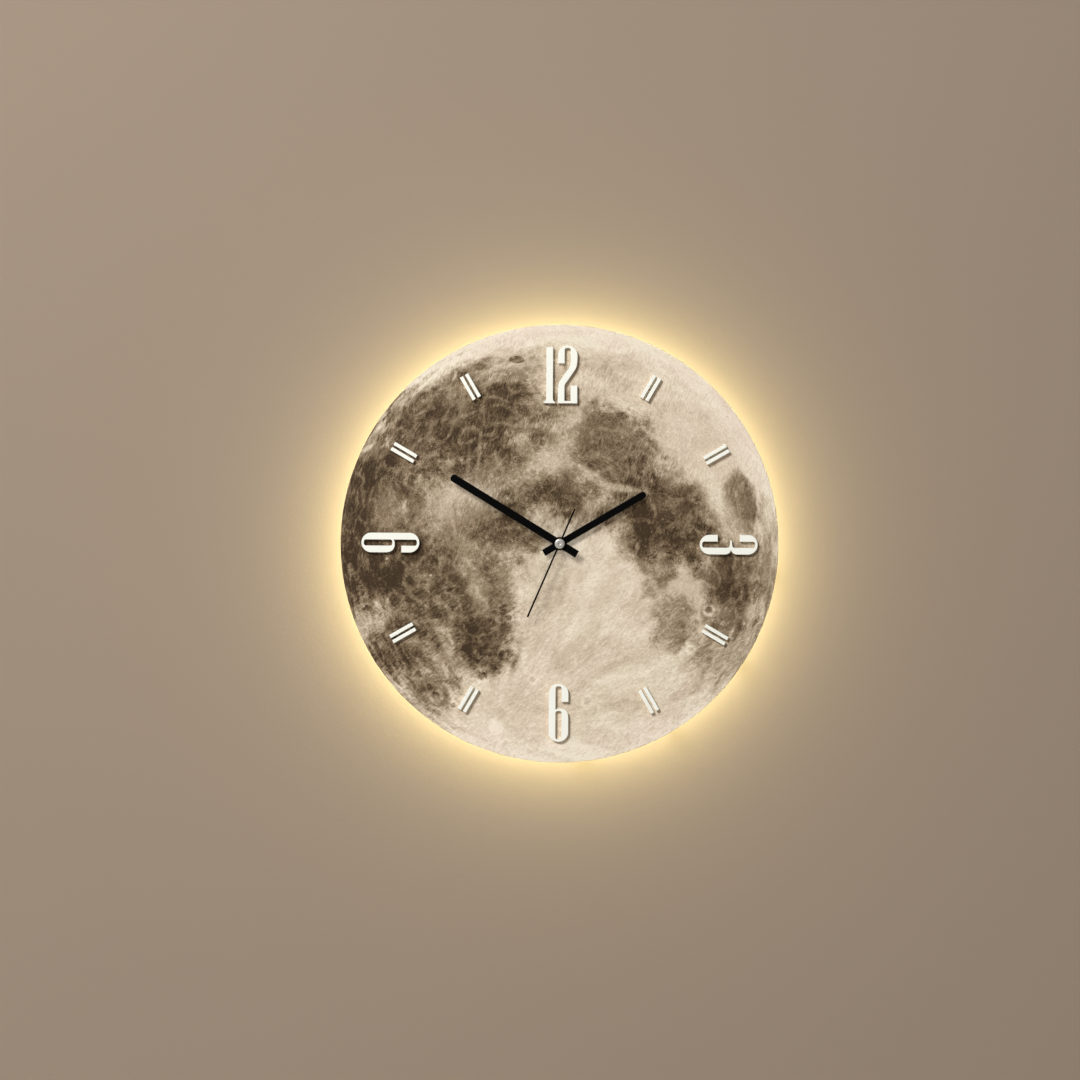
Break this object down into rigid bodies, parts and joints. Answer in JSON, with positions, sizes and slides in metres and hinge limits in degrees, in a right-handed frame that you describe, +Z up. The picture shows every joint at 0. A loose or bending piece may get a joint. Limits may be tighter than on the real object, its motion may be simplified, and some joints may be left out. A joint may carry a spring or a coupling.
{
  "type": "wall clock",
  "caption": "Round wall clock with a lunar dial, raised figures and hour bars, geared hands on a quartz movement, and a halo light behind its rim.",
  "frame": {"origin": "on the axis of the hands, in the plane of the wall that the rear cover lies against", "axes": "+Y into the wall, so the dial faces -Y; +Z up through the 12; +X towards the 3"},
  "size_m": [0.3, 0.0413, 0.3],
  "materials": {
    "moon_print": "matt print of the Moon on a pale panel",
    "ivory_acrylic": "cut acrylic, satin",
    "black_paint": "black painted aluminium sheet",
    "polished_steel": "polished and nickel plated",
    "brass": "machined",
    "natural_plastic": "moulded, uncoloured",
    "steel": "bright zinc",
    "red_plastic": "moulded",
    "copper_wire": "lacquered copper winding",
    "circuit_green": "solder mask",
    "black_plastic": "moulded, fine grain",
    "black_foam": "closed-cell foam tape",
    "battery_wrap": "printed sleeve over a metal can",
    "white_plastic": "moulded, fine grain",
    "black_rubber": "moulded",
    "warm_light": "flexible strip with warm white chips, lit"
  },
  "bodies": {
    "clock": {"dial_panel": "moon_print", "numeral_12_one": "ivory_acrylic", "numeral_12_two": "ivory_acrylic", "numeral_3": "ivory_acrylic", "numeral_6": "ivory_acrylic", "numeral_9": "ivory_acrylic", "hour_bar_1_left": "ivory_acrylic", "hour_bar_1_right": "ivory_acrylic", "hour_bar_2_left": "ivory_acrylic", "hour_bar_2_right": "ivory_acrylic", "hour_bar_4_left": "ivory_acrylic", "hour_bar_4_right": "ivory_acrylic", "hour_bar_5_left": "ivory_acrylic", "hour_bar_5_right": "ivory_acrylic", "hour_bar_7_left": "ivory_acrylic", "hour_bar_7_right": "ivory_acrylic", "hour_bar_8_left": "ivory_acrylic", "hour_bar_8_right": "ivory_acrylic", "hour_bar_10_left": "ivory_acrylic", "hour_bar_10_right": "ivory_acrylic", "hour_bar_11_left": "ivory_acrylic", "hour_bar_11_right": "ivory_acrylic", "battery_spring": "polished_steel", "battery_plate": "polished_steel", "terminal_block": "natural_plastic", "motor_stator": "steel", "coil_core": "steel", "quartz_crystal": "steel", "cover_screw_1": "steel", "cover_screw_2": "steel", "cover_screw_3": "steel", "cover_screw_4": "steel", "motor_coil": "copper_wire", "circuit_board": "circuit_green", "clock_chip": "black_plastic", "case_front": "black_plastic", "case_back": "black_plastic", "movement_pad": "black_foam", "foam_tape_ring": "black_foam", "aa_battery": "battery_wrap", "back_housing": "white_plastic", "rear_cover": "white_plastic", "led_driver": "white_plastic", "cable_grommet": "black_rubber", "strip_lead": "black_rubber", "feed_lead": "black_rubber", "led_strip": "warm_light"},
    "hour": {"hour_wheel": "natural_plastic", "hour_hand": "black_paint"},
    "minute": {"centre_wheel": "brass", "minute_hand": "black_paint"},
    "second": {"second_wheel": "brass", "second_hand": "black_paint", "second_hand_boss": "polished_steel"},
    "third": {"third_wheel": "natural_plastic"},
    "step": {"step_wheel": "natural_plastic"},
    "rotor": {"rotor": "steel"},
    "setting": {"minute_wheel": "natural_plastic", "setting_knob": "red_plastic"}
  },
  "joints": [
    {"name": "minute_turn", "type": "hinge", "parent": "clock", "child": "minute", "pos_m": [0, -0.02, 0], "axis": [0, 1, 0], "continuous": true},
    {"name": "hour_turn", "type": "hinge", "parent": "clock", "child": "hour", "pos_m": [0, -0.02, 0], "axis": [0, 1, 0], "continuous": true},
    {"name": "second_turn", "type": "hinge", "parent": "clock", "child": "second", "pos_m": [0, -0.02, 0], "axis": [0, 1, 0], "continuous": true},
    {"name": "third_turn", "type": "hinge", "parent": "clock", "child": "third", "pos_m": [0.00958, -0.02, 0.00349], "axis": [0, 1, 0], "continuous": true},
    {"name": "step_turn", "type": "hinge", "parent": "clock", "child": "step", "pos_m": [-0.00287, -0.02, 0.00789], "axis": [0, 1, 0], "continuous": true},
    {"name": "rotor_turn", "type": "hinge", "parent": "clock", "child": "rotor", "pos_m": [-0.00412, -0.02, 0.01498], "axis": [0, 1, 0], "continuous": true},
    {"name": "setting_turn", "type": "hinge", "parent": "clock", "child": "setting", "pos_m": [-0.012, -0.02, 0], "axis": [0, 1, 0], "continuous": true}
  ],
  "couplings": [
    {"joint": "hour_turn", "follows": "minute_turn", "ratio": 0.083333},
    {"joint": "second_turn", "follows": "minute_turn", "ratio": 60},
    {"joint": "third_turn", "follows": "minute_turn", "ratio": -8},
    {"joint": "step_turn", "follows": "minute_turn", "ratio": -360},
    {"joint": "rotor_turn", "follows": "minute_turn", "ratio": 1800},
    {"joint": "setting_turn", "follows": "minute_turn", "ratio": -0.33333}
  ]
}
